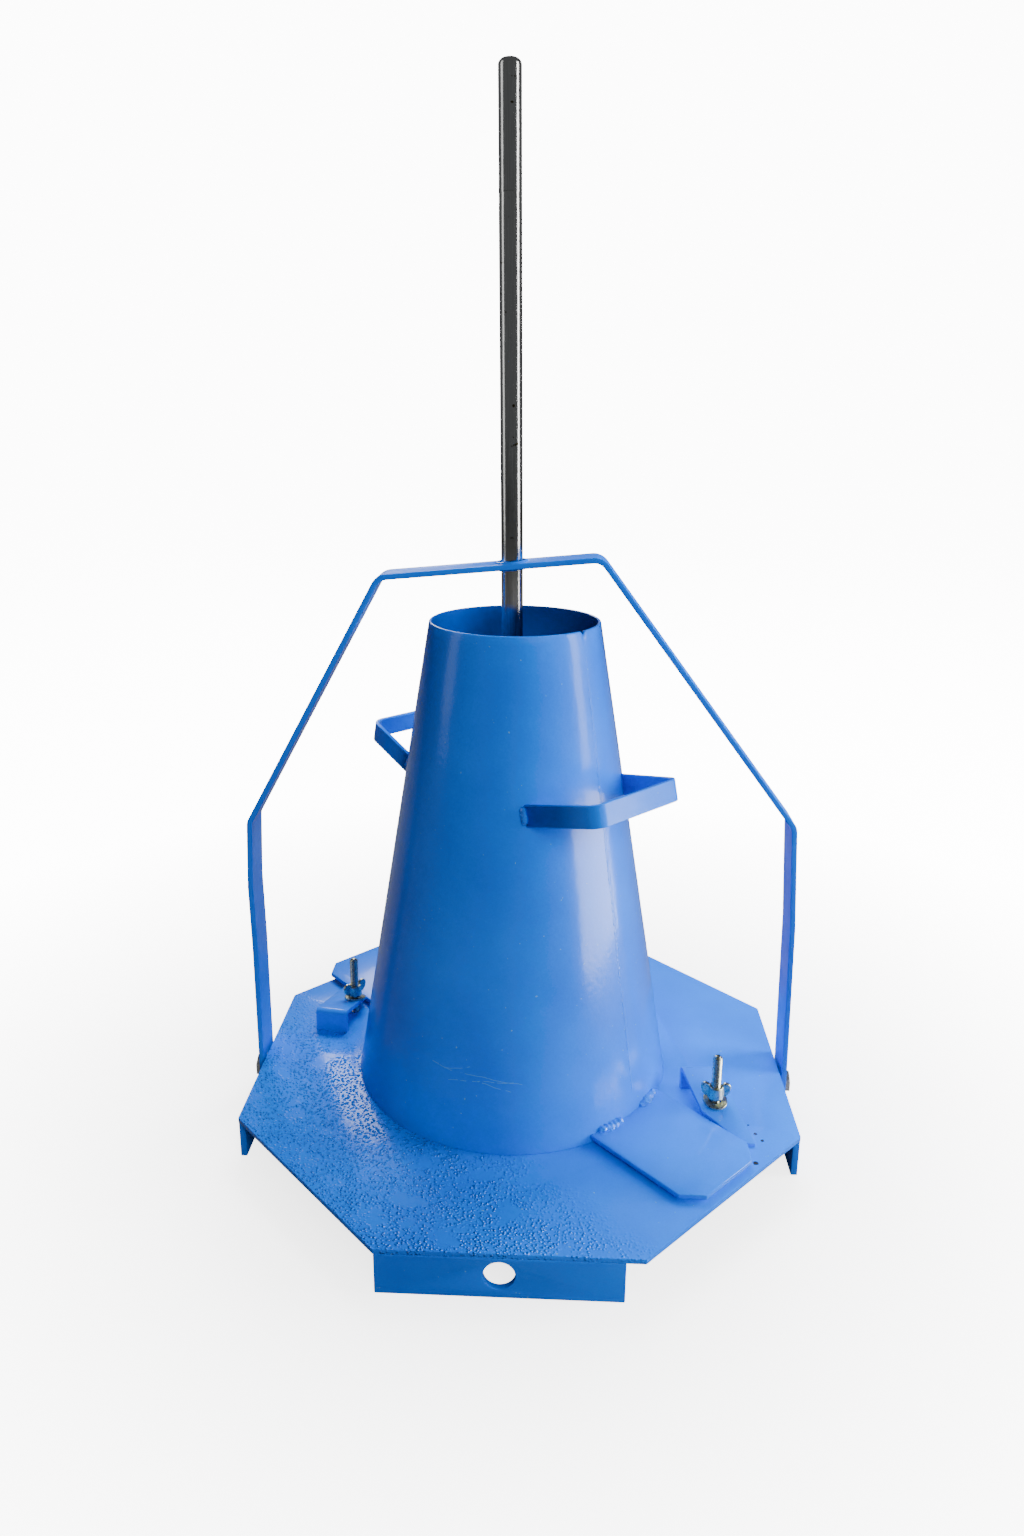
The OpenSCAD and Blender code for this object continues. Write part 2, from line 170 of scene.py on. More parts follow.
def rounded(points, r, steps=4):
    """A closed 2-D outline with every corner rounded."""
    out = []
    count = len(points)
    for i, corner in enumerate(points):
        corner = Vector(corner)
        before = (Vector(points[i - 1]) - corner).normalized()
        after = (Vector(points[(i + 1) % count]) - corner).normalized()
        half = before.angle(after) / 2
        cut = r / math.tan(half)
        middle = corner + (before + after).normalized() * (r / math.sin(half))
        start = corner + before * cut - middle
        sweep = start.angle_signed(corner + after * cut - middle)
        out += [middle + turned(start, -sweep * k / steps) for k in range(steps + 1)]
    return out


# ---------------------------------------------------------------- shapes, as bmesh in millimetres

def from_object(obj):
    """The evaluated mesh of a helper object, which is then deleted."""
    bpy.context.scene.collection.objects.link(obj)
    bpy.context.view_layer.update()
    mesh = bpy.data.meshes.new_from_object(obj.evaluated_get(bpy.context.evaluated_depsgraph_get()))
    bm = bmesh.new()
    bm.from_mesh(mesh)
    bpy.data.objects.remove(obj)
    bpy.data.meshes.remove(mesh)
    return bm


def slab(outline, holes, thickness, edge):
    """A flat plate from z = 0 up, with holes and all its edges rounded."""
    curve = bpy.data.curves.new("slab", "CURVE")
    curve.dimensions = "2D"
    curve.fill_mode = "BOTH"
    curve.extrude = thickness / 2 - edge
    curve.bevel_depth = edge
    curve.bevel_resolution = 2
    curve.offset = -edge
    for loop in [outline, *[list(reversed(h)) for h in holes]]:
        spline = curve.splines.new("POLY")
        spline.points.add(len(loop) - 1)
        for place, point in zip(loop, spline.points):
            point.co = (place[0], place[1], 0, 1)
        spline.use_cyclic_u = True
    bm = from_object(bpy.data.objects.new("slab", curve))
    bmesh.ops.remove_doubles(bm, verts=bm.verts, dist=1e-4)
    bmesh.ops.translate(bm, verts=bm.verts, vec=(0, 0, thickness / 2))
    return bm


def lathe(profile, steps=96, closed=False, shape=None):
    """A turned body. profile is (radius, height) points; shape may move each new point."""
    bm = bmesh.new()
    rings = []
    for r, z in profile:
        if r < 1e-6:
            rings.append([bm.verts.new((0, 0, z))])
            continue
        ring = []
        for i in range(steps):
            a = 2 * math.pi * i / steps
            place = Vector((r * math.cos(a), r * math.sin(a), z))
            ring.append(bm.verts.new(shape(place) if shape else place))
        rings.append(ring)
    pairs = list(zip(rings, rings[1:]))
    if closed:
        pairs.append((rings[-1], rings[0]))
    for low, high in pairs:
        for i in range(steps):
            j = (i + 1) % steps
            quad = [low[i % len(low)], low[j % len(low)], high[j % len(high)], high[i % len(high)]]
            bm.faces.new(list(dict.fromkeys(quad)))
    bmesh.ops.recalc_face_normals(bm, faces=bm.faces)
    return bm


class Path:
    """A line of straight stretches and round bends in a plane, measured along its length."""

    def __init__(self, points, bend_r):
        points = [Vector(p) for p in points]
        way = [(b - a).normalized() for a, b in zip(points, points[1:])]
        self.pieces = []
        self.cuts = []
        at, start = 0.0, points[0]
        for i in range(1, len(points) - 1):
            angle = -way[i - 1].angle_signed(way[i])
            trim = bend_r * math.tan(abs(angle) / 2)
            straight = (points[i] - way[i - 1] * trim - start).length
            self.pieces.append((at, start, way[i - 1], 0.0))
            at += straight
            bend_start = points[i] - way[i - 1] * trim
            arc = bend_r * abs(angle)
            self.pieces.append((at, bend_start, way[i - 1], angle / arc))
            steps = max(2, math.ceil(abs(angle) / math.radians(4)))
            self.cuts += [at + arc * k / steps for k in range(steps + 1)]
            at += arc
            start = points[i] + way[i] * trim
        self.pieces.append((at, start, way[-1], 0.0))
        self.length = at + (points[-1] - start).length

    def at(self, s):
        """Point and direction at the distance s along the path."""
        piece = self.pieces[0]
        for p in self.pieces:
            if p[0] <= s:
                piece = p
        begin, start, way, curl = piece
        d = s - begin
        if curl == 0:
            return start + way * d, way
        side = turned(way, math.pi / 2) / curl
        return start + side - turned(side, curl * d), turned(way, curl * d)


def bent(bm, path, plane):
    """Bends a flat strip, drawn with X along its length and Z through it, along a path."""
    for s in path.cuts:
        bmesh.ops.bisect_plane(bm, geom=[*bm.verts, *bm.edges, *bm.faces],
                               plane_co=(s, 0, 0), plane_no=(1, 0, 0), dist=1e-4)
    for v in bm.verts:
        point, way = path.at(v.co.x)
        point = point + turned(way, math.pi / 2) * v.co.z
        v.co = plane @ Vector((point[0], point[1], v.co.y))
    bmesh.ops.recalc_face_normals(bm, faces=bm.faces)
    return bm


def bead(line, radius, seed, flat=1.0, up=Vector((0, 0, 1)), ripple=1.8):
    """A lumpy run of weld along a line of points."""
    bm = bmesh.new()
    around = 14
    rings = []
    travelled = 0.0
    last = len(line) - 1
    for i, point in enumerate(line):
        way = (line[min(i + 1, last)] - line[max(i - 1, 0)]).normalized()
        side = way.cross(up).normalized()
        top = side.cross(way)
        if i:
            travelled += (point - line[i - 1]).length
        taper = math.sqrt(max(0.0, 1 - (2 * i / last - 1) ** 6))
        swell = 1 + 0.12 * math.cos(2 * math.pi * travelled / ripple)
        if i in (0, last):
            rings.append([bm.verts.new(point)])
            continue
        ring = []
        for k in range(around):
            a = 2 * math.pi * k / around
            out = side * math.cos(a) + top * math.sin(a) * flat
            lump = 1 + 0.4 * wobble(point + out * radius, 2.0, seed)
            ring.append(bm.verts.new(point + out * radius * taper * swell * lump))
        rings.append(ring)
    for low, high in zip(rings, rings[1:]):
        for k in range(around):
            m = (k + 1) % around
            quad = [low[k % len(low)], low[m % len(low)], high[m % len(high)], high[k % len(high)]]
            bm.faces.new(list(dict.fromkeys(quad)))
    bmesh.ops.recalc_face_normals(bm, faces=bm.faces)
    return bm


def screw(radius, low, high):
    """A threaded rod with a chamfered top."""
    depth = 0.35
    rows_per_turn = 8
    chamfer = 1.5

    def groove(place):
        turn = place.z / THREAD_PITCH - math.atan2(place.y, place.x) / (2 * math.pi)
        cut = depth * abs(2 * (turn % 1) - 1)
        limit = radius - max(0.0, place.z - (high - chamfer))
        r = min(radius - cut, limit)
        return Vector((place.x, place.y, 0)).normalized() * r + Vector((0, 0, place.z))

    rows = math.ceil((high - low) / THREAD_PITCH * rows_per_turn)
    profile = [(radius, low + (high - low) * i / rows) for i in range(rows + 1)]
    return lathe([(0, low), *profile, (0, high)], steps=24, shape=groove)


def hexagon(height, holes=(), edge=0.45):
    outline = rounded(circle(0, 0, HEX_AF / math.sqrt(3), 6), 0.4, 3)
    return slab(outline, holes, height, edge)


def dressed(node, edge):
    """A copy of a CAD node's mesh in millimetres, with its sharp edges rounded."""
    bm = bmesh.new()
    bm.from_mesh(frame["nodes"][node].data)
    bm.transform(Matrix.Scale(1 / MM, 4))
    bmesh.ops.remove_doubles(bm, verts=bm.verts, dist=1e-3)
    bmesh.ops.dissolve_limit(bm, angle_limit=math.radians(0.5), verts=bm.verts, edges=bm.edges)
    sharp = [e for e in bm.edges if e.is_manifold and e.calc_face_angle() > math.radians(30)]
    bmesh.ops.bevel(bm, geom=sharp, offset=edge, offset_type="OFFSET", segments=2, profile=0.5,
                    affect="EDGES", clamp_overlap=True)
    return bm


def joined(*parts):
    """Several bmeshes as one."""
    whole = bmesh.new()
    for part in parts:
        mesh = bpy.data.meshes.new("part")
        part.to_mesh(mesh)
        part.free()
        whole.from_mesh(mesh)
        bpy.data.meshes.remove(mesh)
    return whole


def placed(bm, matrix):
    bm.transform(matrix)
    return bm


def melted(bm, voxel, smoothing):
    """Closed shapes that run into each other, fused and softened as in a casting."""
    mesh = bpy.data.meshes.new("melted")
    bm.to_mesh(mesh)
    bm.free()
    obj = bpy.data.objects.new("melted", mesh)
    remesh = obj.modifiers.new("remesh", "REMESH")
    remesh.mode = "VOXEL"
    remesh.voxel_size = voxel
    smooth = obj.modifiers.new("smooth", "SMOOTH")
    smooth.iterations = smoothing
    return from_object(obj)


# ---------------------------------------------------------------- materials

def add(tree, kind, inputs=None, **settings):
    """A new node with its settings, and its inputs set or linked."""
    made = tree.nodes.new(kind)
    for key, value in settings.items():
        setattr(made, key, value)
    for key, value in (inputs or {}).items():
        if isinstance(value, bpy.types.NodeSocket):
            tree.links.new(value, made.inputs[key])
        else:
            made.inputs[key].default_value = value
    return made


def math_node(tree, operation, a, b=0.0, clamp=False):
    return add(tree, "ShaderNodeMath", {0: a, 1: b}, operation=operation, use_clamp=clamp).outputs[0]


def noise_node(tree, place, scale, detail=2.0, roughness=0.5):
    return add(tree, "ShaderNodeTexNoise",
               {"Vector": place, "Scale": scale, "Detail": detail, "Roughness": roughness}
               ).outputs["Fac"]


def ramp(tree, value, low, high, colours=((0, 0, 0, 1), (1, 1, 1, 1))):
    made = add(tree, "ShaderNodeValToRGB", {"Fac": value})
    made.color_ramp.elements[0].position = low
    made.color_ramp.elements[1].position = high
    made.color_ramp.elements[0].color = colours[0]
    made.color_ramp.elements[1].color = colours[1]
    return made.outputs["Color"]


def mixed(tree, factor, a, b):
    made = add(tree, "ShaderNodeMix", {"Factor": factor}, data_type="RGBA")
    for socket, value in ((made.inputs[6], a), (made.inputs[7], b)):
        if isinstance(value, bpy.types.NodeSocket):
            tree.links.new(value, socket)
        else:
            socket.default_value = value
    return made.outputs[2]


def new_material(name):
    material = bpy.data.materials.new(name)
    material.use_nodes = True
    tree = material.node_tree
    shader = tree.nodes["Principled BSDF"]
    place = tree.nodes.new("ShaderNodeTexCoord").outputs["Object"]
    return material, tree, shader, place


def bump(tree, shader, height, distance, under=None):
    inputs = {"Height": height, "Distance": distance, "Strength": 1.0}
    if under:
        inputs["Normal"] = under
    normal = add(tree, "ShaderNodeBump", inputs).outputs[0]
    tree.links.new(normal, shader.inputs["Normal"])
    return normal


PAINT_LOW = (0.000, 0.120, 0.700, 1)
PAINT_HIGH = (0.000, 0.175, 0.880, 1)
CHIP = (0.020, 0.022, 0.030, 1)
SCRATCH = (0.06, 0.26, 0.72, 1)
SPECK = (0.10, 0.30, 0.62, 1)
# dark blue of the painted shade inside the cone
BORE_SHADE = (0.000, 0.030, 0.260, 1)


def from_axis(tree, apart):
    """How far a point lies from the cone's axis along X and along Y."""
    return [math_node(tree, "SUBTRACT", apart[k], AXIS[k] * MM) for k in (0, 1)]


def length_of(tree, dx, dy):
    squares = [math_node(tree, "MULTIPLY", d, d) for d in (dx, dy)]
    return math_node(tree, "SQRT", math_node(tree, "ADD", *squares))


def chipped(tree, place, apart, colour, chips):
    """Bare spots with ragged edges. chips are (x, y, radius) on a level face, in metres."""
    frayed = 0.0012
    ragged = math_node(tree, "MULTIPLY", noise_node(tree, place, 1500, 2), frayed)
    for x, y, r in chips:
        far = length_of(tree, math_node(tree, "SUBTRACT", apart[0], x),
                        math_node(tree, "SUBTRACT", apart[1], y))
        inside = math_node(tree, "LESS_THAN", math_node(tree, "ADD", far, ragged), r + frayed / 2)
        colour = mixed(tree, inside, colour, CHIP)
    return colour


def scratched(tree, place, apart, colour, scratches):
    """Thin broken lines round the cone. scratches are (azimuth, height, half the run, slope), in
    degrees and metres."""
    half_width = 0.00018
    dx, dy = from_axis(tree, apart)
    azimuth = math_node(tree, "ARCTAN2", dy, dx)
    waver = math_node(tree, "MULTIPLY", noise_node(tree, place, 60, 3), 0.004)
    wavy_z = math_node(tree, "ADD", apart[2], waver)
    broken = noise_node(tree, place, 260, 2)
    for angle, height, half, slope in scratches:
        off = math_node(tree, "SUBTRACT", azimuth, math.radians(angle))
        level = math_node(tree, "ADD", math_node(tree, "MULTIPLY", off, slope), height)
        gap = math_node(tree, "ABSOLUTE", math_node(tree, "SUBTRACT", wavy_z, level))
        near = math_node(tree, "LESS_THAN", gap, half_width)
        along = math_node(tree, "LESS_THAN", math_node(tree, "ABSOLUTE", off),
                          math.radians(half))
        seen = math_node(tree, "GREATER_THAN", broken, 0.42)
        mark = math_node(tree, "MULTIPLY", math_node(tree, "MULTIPLY", near, along), seen)
        colour = mixed(tree, mark, colour, SCRATCH)
    return colour


def painted_bore_shade(tree, apart, colour):
    """Painted shade on the cone's inside: its colour goes most of the way to a dark blue. The limit
    lies within the wall.
    """
    within = 1.3
    radius = length_of(tree, *from_axis(tree, apart))
    widened = math_node(tree, "ADD", radius, math_node(tree, "MULTIPLY", apart[2], SLOPE))
    inner = math_node(tree, "LESS_THAN", widened, (BOTTOM_R + DECK * SLOPE - within) * MM)
    return mixed(tree, math_node(tree, "MULTIPLY", inner, 0.8), colour, BORE_SHADE)


def spatter(tree, place, apart):
    """Height of the droplets in patches on the plate's front left side."""
    cells = add(tree, "ShaderNodeTexVoronoi", {"Vector": place, "Scale": 520.0,
                                               "Randomness": 1.0})
    dome = ramp(tree, cells.outputs["Distance"], 0.05, 0.50, ((1, 1, 1, 1), (0, 0, 0, 1)))
    patch = ramp(tree, noise_node(tree, place, 60, 3), 0.36, 0.50)
    corner = math_node(tree, "ADD", apart[0], apart[1])
    side = add(tree, "ShaderNodeMapRange", {"Value": corner, "From Min": -0.08,
                                            "From Max": -0.14}).outputs[0]
    return math_node(tree, "MULTIPLY", math_node(tree, "MULTIPLY", dome, patch), side)


def enamel(name, peel=0.00005, gloss=0.45, drops=0.0, chips=(), scratches=(), bore=False):
    """Blue gloss enamel. peel is the depth of the orange peel in metres, gloss the weight of its
    clear top and drops the height of spatter on it."""
    material, tree, shader, place = new_material(name)
    broad = noise_node(tree, place, 14, 3)
    fine = noise_node(tree, place, 900, 2)
    tone = math_node(tree, "ADD", math_node(tree, "MULTIPLY", broad, 0.8),
                     math_node(tree, "MULTIPLY", fine, 0.2))
    colour = mixed(tree, ramp(tree, tone, 0.30, 0.70), PAINT_LOW, PAINT_HIGH)
    specks = noise_node(tree, place, 420, 1)
    colour = mixed(tree, ramp(tree, specks, 0.765, 0.80), colour, SPECK)
    rough = add(tree, "ShaderNodeMapRange",
                {"Value": noise_node(tree, place, 45, 4), "To Min": 0.24, "To Max": 0.40}).outputs[0]
    apart = add(tree, "ShaderNodeSeparateXYZ", {0: place}).outputs
    if chips:
        colour = chipped(tree, place, apart, colour, chips)
    if scratches:
        colour = scratched(tree, place, apart, colour, scratches)
    # painted shade: bore darkens the cone's inside
    if bore:
        colour = painted_bore_shade(tree, apart, colour)

    tree.links.new(colour, shader.inputs["Base Color"])
    tree.links.new(rough, shader.inputs["Roughness"])
    shader.inputs["Specular IOR Level"].default_value = 0.15
    shader.inputs["Coat Weight"].default_value = gloss
    shader.inputs["Coat Roughness"].default_value = 0.14
    shader.inputs["IOR"].default_value = 1.5
    normal = bump(tree, shader, noise_node(tree, place, 330, 2, 0.4), peel)
    dents = noise_node(tree, place, 22, 1)
    normal = bump(tree, shader, dents, peel * 6, under=normal)
    if drops:
        normal = bump(tree, shader, spatter(tree, place, apart), drops, under=normal)
    tree.links.new(normal, shader.inputs["Coat Normal"])
    return material


def metal(name, dark, light, rough, grain=(60, 60, 60), depth=0.00001, speck=0.0):
    """Bare or plated steel, streaked along its grain."""
    material, tree, shader, place = new_material(name)
    stretched = add(tree, "ShaderNodeMapping", {"Vector": place, "Scale": grain}).outputs[0]
    streak = noise_node(tree, stretched, 12, 4, 0.6)
    colour = mixed(tree, ramp(tree, streak, 0.32, 0.70), dark, light)
    if speck:
        spots = noise_node(tree, place, 240, 2)
        colour = mixed(tree, ramp(tree, spots, 0.70, 0.74), colour, (speck, speck * 0.8, 0.03, 1))
    tree.links.new(colour, shader.inputs["Base Color"])
    shader.inputs["Metallic"].default_value = 1.0
    value = add(tree, "ShaderNodeMapRange", {"Value": streak, "To Min": rough * 0.7,
                                             "To Max": rough * 1.4}).outputs[0]
    tree.links.new(value, shader.inputs["Roughness"])
    bump(tree, shader, streak, depth)
    return material


# Where the paint is chipped on the plate and the feet, and scratched low on the cone
PLATE_CHIPS = [
    (0.1450, -0.0700, 0.0011), (0.1480, -0.0760, 0.0011), (0.1405, -0.0960, 0.0016),
    (0.1630, -0.0930, 0.0015), (0.1420, -0.0620, 0.0006), (0.1665, -0.0860, 0.0008),
]
FOOT_CHIPS = [(0.0760, -0.0500, 0.0010), (0.0590, -0.0740, 0.0009), (0.0620, -0.0560, 0.0007)]
CONE_SCRATCHES = [
    (-101.0, 0.0760, 17.0, -0.010), (-99.0, 0.0728, 12.0, 0.006), (-108.0, 0.0795, 5.0, 0.02),
    (-94.0, 0.0705, 6.0, -0.02),
]

paint = enamel("enamel")
plate_paint = enamel("enamel_plate", drops=0.0012, chips=PLATE_CHIPS)
foot_paint = enamel("enamel_foot", chips=FOOT_CHIPS)
# bore=True paints shade on the cone's inside
cone_paint = enamel("enamel_cone", peel=0.00008, scratches=CONE_SCRATCHES, bore=True)
bail_paint = enamel("enamel_bail", gloss=0.12)
weld_paint = enamel("enamel_weld", peel=0.0003, gloss=0.9)
polished = metal("polished_rod", (0.42, 0.42, 0.41, 1), (0.86, 0.86, 0.85, 1), 0.14,
                 grain=(900, 900, 3), depth=0.00002, speck=0.10)
zinc = metal("bright_zinc", (0.50, 0.51, 0.52, 1), (0.78, 0.79, 0.80, 1), 0.30)
yellow_zinc = metal("yellow_zinc", (0.36, 0.38, 0.27, 1), (0.68, 0.70, 0.54, 1), 0.28)


# ---------------------------------------------------------------- making pieces

record = frame["record"]
BODY_OF = {n: body for body, nodes in record["behaviour"]["bodies"].items() for n in nodes}


def piece(name, bm, material, node, sharp=38):
    """Turns a bmesh in millimetres into the visible piece that stands for a CAD node."""
    bm.transform(Matrix.Scale(MM, 4))
    for face in bm.faces:
        face.smooth = True
    for edge in bm.edges:
        edge.smooth = not edge.is_manifold or edge.calc_face_angle() < math.radians(sharp)
    mesh = bpy.data.meshes.new(name)
    bm.to_mesh(mesh)
    bm.free()
    obj = bpy.data.objects.new(name, mesh)
    bpy.context.scene.collection.objects.link(obj)
    obj.data.materials.append(material)
    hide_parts(node)
    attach(obj, BODY_OF[node])
    return obj


def base_pieces():
    piece("plate", dressed("base_plate", EDGE_R), plate_paint, "base_plate")
    stand = Matrix.Translation((0, -HALF + SKIRT_T, 0)) @ Matrix.Rotation(math.pi / 2, 4, "X")
    sides = {"front": (0, SKIRT_SHIFT, SKIRT_SHIFT, SKIRT_HOLE_R),
             "back": (180, 0.0, 0.0, SKIRT_HOLE_R),
             "left": (-90, -SKIRT_SHIFT, -AXIS.y, PIVOT_R),
             "right": (90, SKIRT_SHIFT, AXIS.y, PIVOT_R)}
    for side, (turn_z, shift, hole_x, hole_r) in sides.items():
        low, high = shift - SKIRT_LEN / 2, shift + SKIRT_LEN / 2
        outline = rounded([(low, 0), (high, 0), (high, SKIRT_H), (low, SKIRT_H)], 0.8)
        bar = slab(outline, [circle(hole_x, PIVOT_Z, hole_r)], SKIRT_T, EDGE_R)
        piece("skirt_bar_" + side, placed(bar, about_z(turn_z) @ stand), paint, "skirt_" + side)

    stitches = []
    for turn_z in (0, 90, 180, 270):
        for middle in (-STITCH_AT, STITCH_AT):
            line = [about_z(turn_z) @ Vector((middle + t * 0.65, -HALF + SKIRT_T + 0.6,
                                              SKIRT_H - 0.6)) for t in range(-20, 21)]
            stitches.append(bead(line, 2.1, turn_z + middle))
    piece("stitch_welds", joined(*stitches), paint, "skirt_welds")


def at_pivots():
    """Places of the two pivots, with local Z pointing outwards from the skirt's outer face."""
    for side in (0, 180):
        yield (Matrix.Translation((0, AXIS.y, PIVOT_Z)) @ about_z(side)
               @ Matrix.Translation((HALF, 0, 0)) @ Matrix.Rotation(math.pi / 2, 4, "Y"))


def pivot_pieces():
    bolts, spacers, nuts = [], [], []
    for at in at_pivots():
        head = placed(hexagon(HEAD_H), Matrix.Translation((0, 0, PIVOT_HEAD_Z)))
        shank = lathe([(0, SHANK_LOW), (PIVOT_R - 0.6, SHANK_LOW),
                       (PIVOT_R, SHANK_LOW + SHANK_CHAMFER), (PIVOT_R, SHANK_TOP),
                       (0, SHANK_TOP)], 48)
        bolts.append(placed(joined(shank, head), at))
        spacer = slab(circle(0, 0, SPACER_R), [circle(0, 0, PIVOT_R)], SPACER_T, 0.2)
        spacers.append(placed(spacer, at))
        nut = hexagon(PIVOT_NUT_H, [circle(0, 0, PIVOT_R)], 0.5)
        nuts.append(placed(nut, at @ Matrix.Translation((0, 0, PIVOT_NUT_Z))))
    piece("pivot_bolt_pair", joined(*bolts), zinc, "pivot_bolts")
    piece("pivot_spacer_pair", joined(*spacers), zinc, "pivot_spacers")
    piece("pivot_nut_pair", joined(*nuts), zinc, "pivot_nuts")


def cone_radius(z):
    """Outside radius of the cone at a height above the plate."""
    return BOTTOM_R - z * SLOPE


def on_cone(azimuth, z, out=0.0):
    a = math.radians(azimuth)
    r = cone_radius(z) + out
    return AXIS + Vector((r * math.cos(a), r * math.sin(a), z))


def cone_piece():
    rows = 60
    lip = 0.55
    outside = [(cone_radius(z), z) for z in [lip + (CONE_H - 2 * lip) * i / rows
                                             for i in range(rows + 1)]]
    inside = [(r - WALL, z) for r, z in reversed(outside)]
    top = [(cone_radius(CONE_H) - WALL / 2 + WALL / 2 * math.cos(a), CONE_H - lip + lip * math.sin(a))
           for a in [math.radians(d) for d in (30, 60, 90, 120, 150)]]
    foot = [(BOTTOM_R - WALL / 2 + WALL / 2 * math.cos(a), lip + lip * math.sin(a))
            for a in [math.radians(d) for d in (210, 240, 270, 300, 330)]]

    def handmade(place):
        angle = math.degrees(math.atan2(place.y, place.x))
        off = abs((angle - SEAM_AZIMUTH + 180) % 360 - 180)
        nick = (NICK_DEPTH * max(0.0, 1 - (off / NICK_HALF) ** 2)
                * max(0.0, 1 - (CONE_H - place.z) / NICK_REACH))
        dent = 0.25 * wobble(place, 45, 3)
        flat = Vector((place.x, place.y, 0)).normalized()
        return place - flat * (abs(dent) if place.z > 4 else 0.0) - Vector((0, 0, nick))

    bm = lathe([*outside, *top, *inside, *foot], steps=360, closed=True, shape=handmade)
    piece("cone", placed(bm, Matrix.Translation(AXIS)), cone_paint, "cone_shell", sharp=60)

    steps = 320
    seam = [on_cone(SEAM_AZIMUTH, SEAM_LOW + SEAM_RUN * i / steps, -0.3)
            for i in range(steps + 1)]
    outward = about_z(SEAM_AZIMUTH) @ Vector((1, 0, SLOPE)).normalized()
    piece("seam", bead(seam, 1.35, 5, flat=0.36, up=outward, ripple=2.6), paint, "cone_seam_weld")


def foot_pieces():
    for which in ("front", "rear"):
        piece("foot_" + which, dressed("cone_foot_" + which, EDGE_R), foot_paint,
              "cone_foot_" + which)
    runs = []
    for turn_z in (FOOT_AZIMUTH, FOOT_AZIMUTH + 180):
        for start in FOOT_BEAD_STARTS:
            line = [on_cone(turn_z + start + FOOT_BEAD_TURN * t / 40, FOOT_TOP + 0.2, 0.7)
                    for t in range(41)]
            runs.append(bead(line, 2.5, start + turn_z, ripple=3.1))
            blobs = [on_cone(turn_z + start + 3 + 5 * t / 16, FOOT_TOP - 0.3, 2.3)
                     for t in range(17)]
            runs.append(bead(blobs, 1.7, start - turn_z, flat=0.8, ripple=2.2))
    piece("foot_beads", joined(*runs), weld_paint, "foot_welds")


def root_x(z):
    """How far from the cone's axis a handle's ends meet the wall, along its middle line."""
    return math.sqrt(cone_radius(z) ** 2 - (HANDLE_ROOT / 2) ** 2)


def handle_pieces():
    beads = []
    for which, turn_z in (("front", FOOT_AZIMUTH), ("rear", FOOT_AZIMUTH + 180)):
        z = HANDLE_Z[which]
        reach = HANDLE_REACH - root_x(z)
        root, grip = HANDLE_ROOT / 2, HANDLE_GRIP / 2
        line = [(0, -root), (reach, -grip), (reach, grip), (0, root)]
        path = Path(line, HANDLE_BEND_R)
        spare = 4.0
        low, high = -spare, path.length + spare
        outline = rounded([(low, -HANDLE_W / 2), (high, -HANDLE_W / 2),
                           (high, HANDLE_W / 2), (low, HANDLE_W / 2)], 0.5)
        strip = placed(slab(outline, [], HANDLE_T, EDGE_R),
                       Matrix.Translation((0, 0, -HANDLE_T / 2)))
        tilt = Matrix.Rotation(math.radians(-HANDLE_RISE), 4, "Y")
        at_root = Matrix.Translation((root_x(z), 0, z)) @ tilt
        bm = bent(strip, path, at_root)
        inward = (at_root.to_3x3() @ Vector((1, 0, 0))).normalized()
        for v in bm.verts:
            sink = cone_radius(v.co.z) - 0.6 - v.co.xy.length
            if sink > 0:
                v.co += inward * sink / max(0.5, v.co.xy.normalized().dot(inward.xy))
        move = Matrix.Translation(AXIS) @ about_z(turn_z)
        piece("grip_" + which, placed(bm, move), paint, "cone_handle_" + which)
        for side in (-1, 1):
            line = []
            for t in range(-14, 15):
                y = side * (root + HANDLE_T / 2 + 0.9)
                height = z + t * 0.37
                x = math.sqrt(cone_radius(height) ** 2 - y * y) + 0.3
                line.append(move @ Vector((x, y, height)))
            beads.append(bead(line, 2.1, z + side, up=move.to_3x3() @ Vector((1, 0, 0)),
                              ripple=2.9))
    piece("handle_beads", joined(*beads), weld_paint, "handle_welds")


def bail_piece():
    path = Path(BAIL_LINE, BAIL_BEND_R)
    eye_s = min((s * 0.1 for s in range(int(path.length * 10))),
                key=lambda s: abs(path.at(s)[0][0] - EYE_X))
    r = BAIL_W / 2
    left = [(-r * math.sin(a), r * math.cos(a)) for a in [math.pi * i / 24 for i in range(25)]]
    right = [(path.length - x, -y) for x, y in left]
    holes = [circle(0, 0, PIVOT_R + 0.05), circle(path.length, 0, PIVOT_R + 0.05),
             circle(eye_s, 0, EYE_R)]
    strip = placed(slab(left + right, holes, BAIL_T, 0.7), Matrix.Translation((0, 0, -BAIL_T / 2)))
    upright = Matrix(((1, 0, 0, 0), (0, 0, -1, AXIS.y), (0, 1, 0, DECK), (0, 0, 0, 1)))
    bar = bent(strip, path, upright)
    point, way = path.at(eye_s)
    high = BAIL_T / 2 + 1
    profile = [(EYE_R + 0.02, -high + 0.5), (EYE_R + 0.6, -high), (9.6, -high + 0.2),
               (10.4, -high + 1.1), (10.4, high - 1.1), (9.6, high - 0.2), (EYE_R + 0.6, high),
               (EYE_R + 0.02, high - 0.5)]
    lean = Matrix.Rotation(-math.atan2(way[1], way[0]), 4, "Y")
    rim = placed(lathe(profile, 64, closed=True),
                 Matrix.Translation(upright @ Vector((point[0], point[1], 0))) @ lean)
    piece("bail", joined(bar, rim), bail_paint, "bail_bar", sharp=30)
    return upright @ Vector((point[0], point[1], 0))


